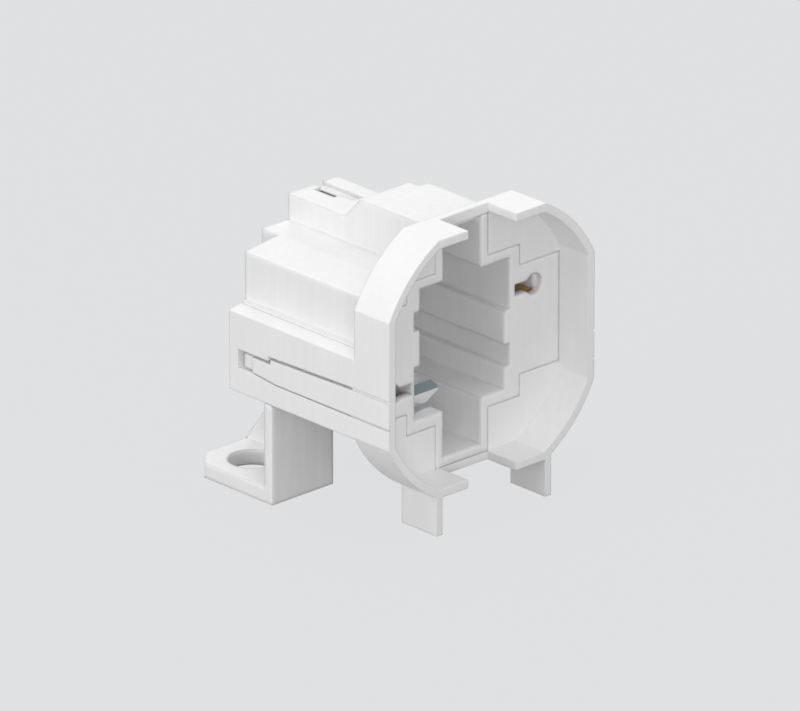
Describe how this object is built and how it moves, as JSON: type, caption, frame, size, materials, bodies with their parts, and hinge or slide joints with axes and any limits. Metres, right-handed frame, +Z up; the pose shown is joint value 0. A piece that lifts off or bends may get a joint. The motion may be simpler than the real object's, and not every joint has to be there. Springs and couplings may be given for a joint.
{
  "type": "compact fluorescent lamp holder",
  "caption": "Push-in lamp holder of white plastic with a keyed recess in an octagonal collar, pin contacts, a retention spring, wire terminals and screw feet.",
  "frame": {"origin": "centre of the part's bounding box in plan, on the plane that the legs and feet stand on", "axes": "+Z up from the feet; -Y out of the mouth, the way the lamp leaves; +X to the right seen into the mouth"},
  "size_m": [0.0352, 0.0362, 0.0395],
  "materials": {
    "housing_plastic": "satin moulded white",
    "contact_brass": "bright strip",
    "spring_steel": "bright spring strip"
  },
  "bodies": {
    "holder": {"front_housing": "housing_plastic", "rear_housing": "housing_plastic", "contact_left": "contact_brass", "contact_right": "contact_brass"},
    "spring": {"retention_spring": "spring_steel"},
    "clamp_left": {"wire_clamp_left": "spring_steel"},
    "clamp_right": {"wire_clamp_right": "spring_steel"}
  },
  "joints": [
    {"name": "spring_tilt", "type": "hinge", "parent": "holder", "child": "spring", "pos_m": [-0.00528, 0.00195, 0.0145], "axis": [1, 0, 0], "range_deg": [0, 4], "stiffness_Nm_per_rad": 0.02},
    {"name": "clamp_left_tilt", "type": "hinge", "parent": "holder", "child": "clamp_left", "pos_m": [-0.0046, 0.01225, 0.01655], "axis": [1, 0, 0], "range_deg": [0, 15], "stiffness_Nm_per_rad": 0.005},
    {"name": "clamp_right_tilt", "type": "hinge", "parent": "holder", "child": "clamp_right", "pos_m": [0.0046, 0.01225, 0.02485], "axis": [1, 0, 0], "range_deg": [0, 15], "stiffness_Nm_per_rad": 0.005}
  ]
}
